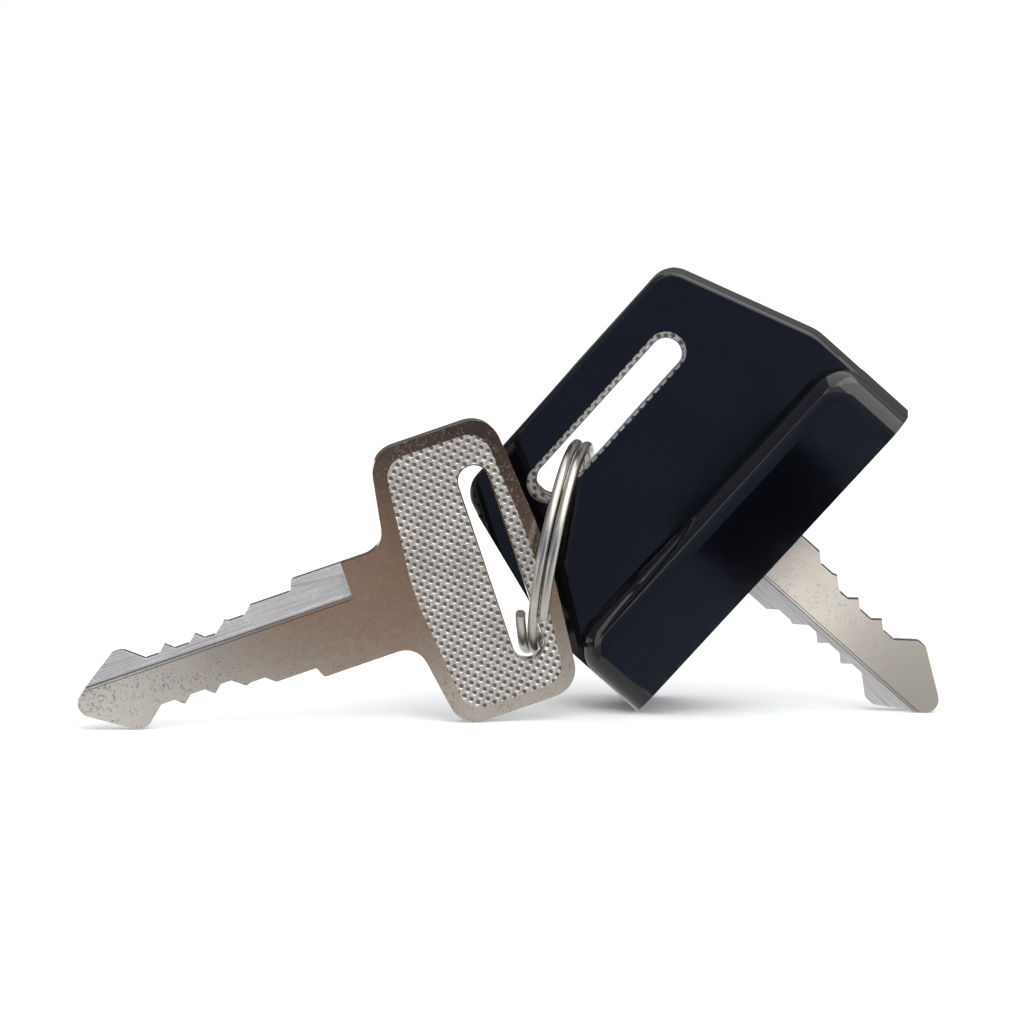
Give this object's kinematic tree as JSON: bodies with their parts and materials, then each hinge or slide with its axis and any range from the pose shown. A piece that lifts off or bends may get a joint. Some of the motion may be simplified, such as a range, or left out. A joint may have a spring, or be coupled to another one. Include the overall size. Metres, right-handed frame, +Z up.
{
  "type": "ignition key set",
  "caption": "Flat double-sided vehicle keys joined by a split ring, one bare and one in a black moulded cover with a hollow hood.",
  "frame": {"origin": "on the floor under the middle of the set's bounding box", "axes": "+X along the row from the bare key's nose to the covered key's nose, +Y from the bare key towards the cover's back, +Z up"},
  "size_m": [0.0916, 0.0286, 0.0479],
  "materials": {
    "key_nickel": "nickel plate, brushed along the blade, dimpled bow",
    "cover_black": "glossy blue-black moulded vinyl",
    "ring_wire": "warm nickel plate on round wire"
  },
  "bodies": {
    "covered_key_body": {"key_cover": "cover_black", "covered_key": "key_nickel"},
    "ring_body": {"split_ring": "ring_wire"},
    "bare_key_body": {"bare_key": "key_nickel"}
  },
  "joints": [
    {"name": "ring_swing", "type": "hinge", "parent": "covered_key_body", "child": "ring_body", "pos_m": [0.00685, 0.00418, 0.0287], "axis": [0.0524, 0.9817, -0.1833], "range_deg": [0, 120]},
    {"name": "bare_key_swing", "type": "hinge", "parent": "ring_body", "child": "bare_key_body", "pos_m": [0.00165, -0.0039, 0.00848], "axis": [-0.1907, 0.981, -0.0349], "range_deg": [-100, 10]}
  ]
}
